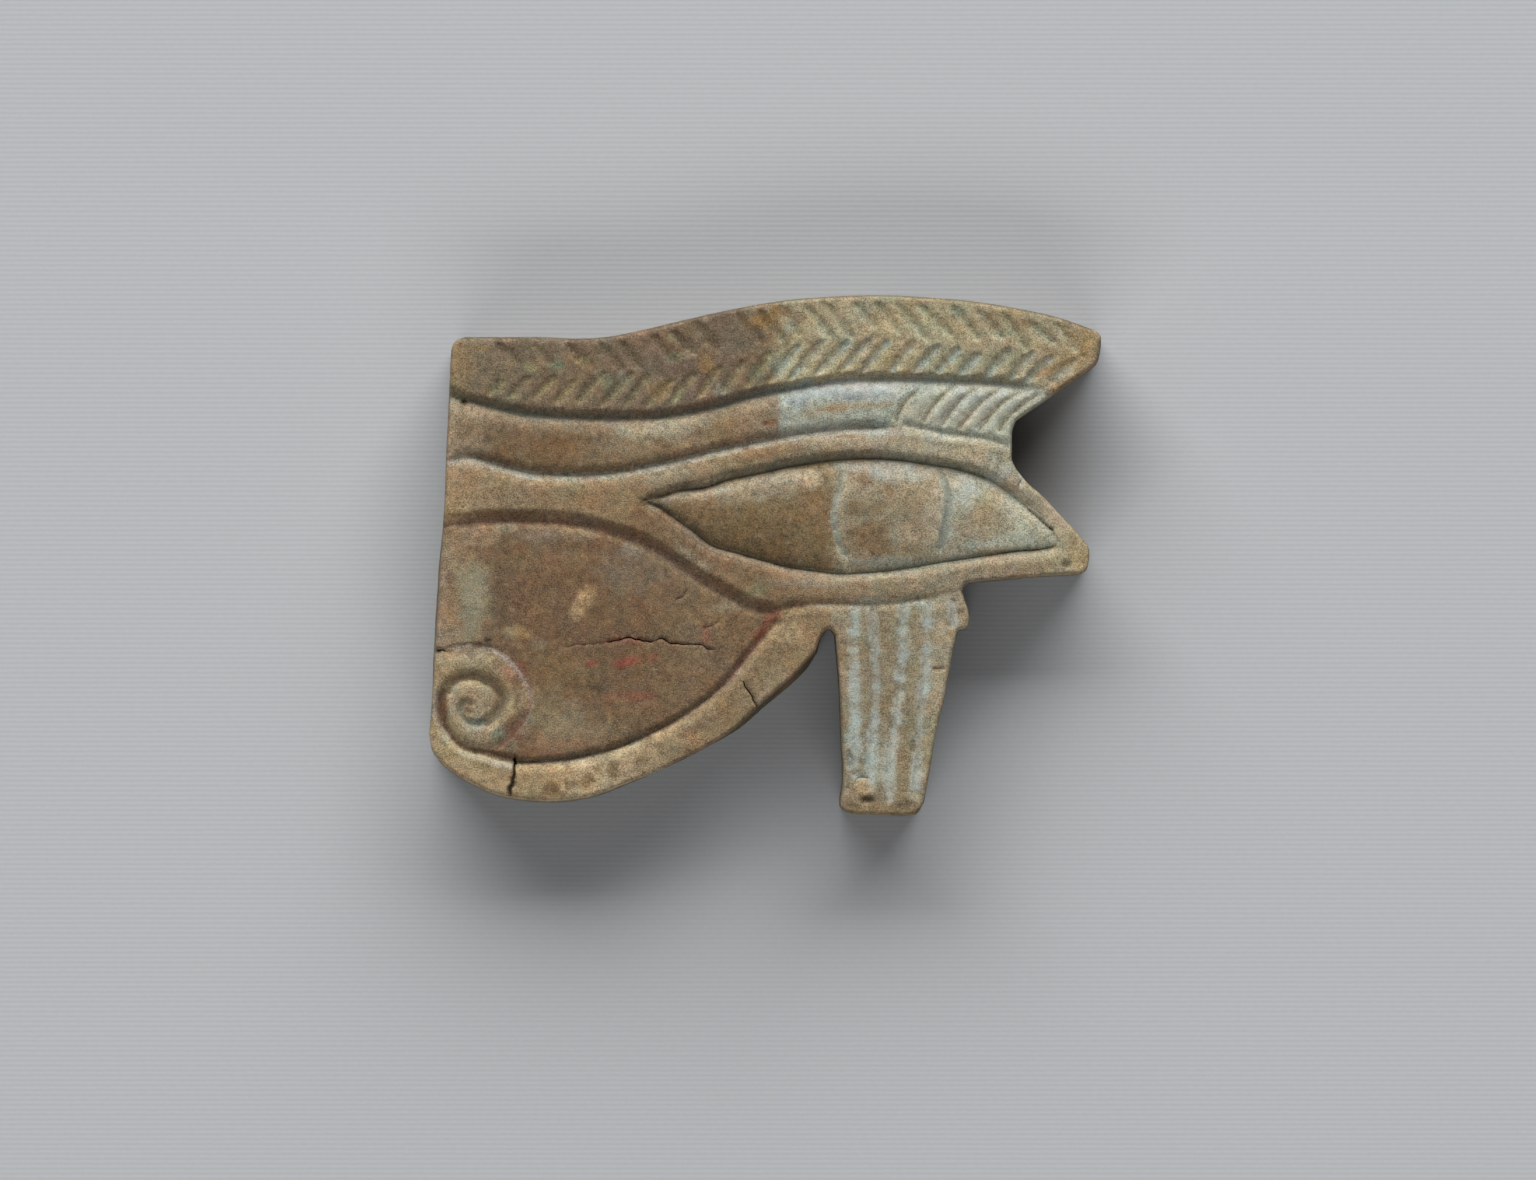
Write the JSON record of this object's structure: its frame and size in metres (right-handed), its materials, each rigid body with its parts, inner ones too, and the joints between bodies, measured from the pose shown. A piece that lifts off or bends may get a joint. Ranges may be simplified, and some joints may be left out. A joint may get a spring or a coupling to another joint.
{
  "type": "wedjat eye amulet",
  "caption": "Flat-backed eye amulet of faience in relief: herringbone brow, banded lid, domed eye, cheek with curled border, and grooved leg, with glaze and pigment in its lines.",
  "frame": {"origin": "middle of the bounding rectangle of the flat back face", "axes": "+X to the viewer's right along the eye, +Y to the top of the brow, +Z out of the carved face"},
  "size_m": [0.0674, 0.0522, 0.009],
  "materials": {
    "faience": "matte, gritty quartz paste, worn",
    "pale_glaze": "weathered, half matte",
    "green_glaze": "weathered, half matte",
    "dark_glaze": "weathered, half matte",
    "red_pigment": "powdery, matte"
  },
  "bodies": {
    "root": {"faience_body": "faience", "brow_line_glaze": "dark_glaze", "band_line_glaze": "dark_glaze", "eye_upper_glaze": "green_glaze", "eye_lower_glaze": "green_glaze", "curl_glaze": "green_glaze", "iris_left_glaze": "green_glaze", "iris_right_glaze": "green_glaze", "eye_white_glaze": "pale_glaze", "band_glaze": "pale_glaze", "cheek_glaze": "pale_glaze", "feather_glaze_1": "pale_glaze", "leg_glaze_1": "pale_glaze", "feather_glaze_2": "pale_glaze", "leg_glaze_2": "pale_glaze", "feather_glaze_3": "pale_glaze", "leg_glaze_3": "pale_glaze", "feather_glaze_4": "pale_glaze", "leg_glaze_4": "pale_glaze", "feather_glaze_5": "pale_glaze", "leg_glaze_5": "pale_glaze", "cheek_upper_pigment": "red_pigment", "cheek_lower_pigment": "red_pigment", "curl_pigment": "red_pigment"}
  },
  "joints": []
}
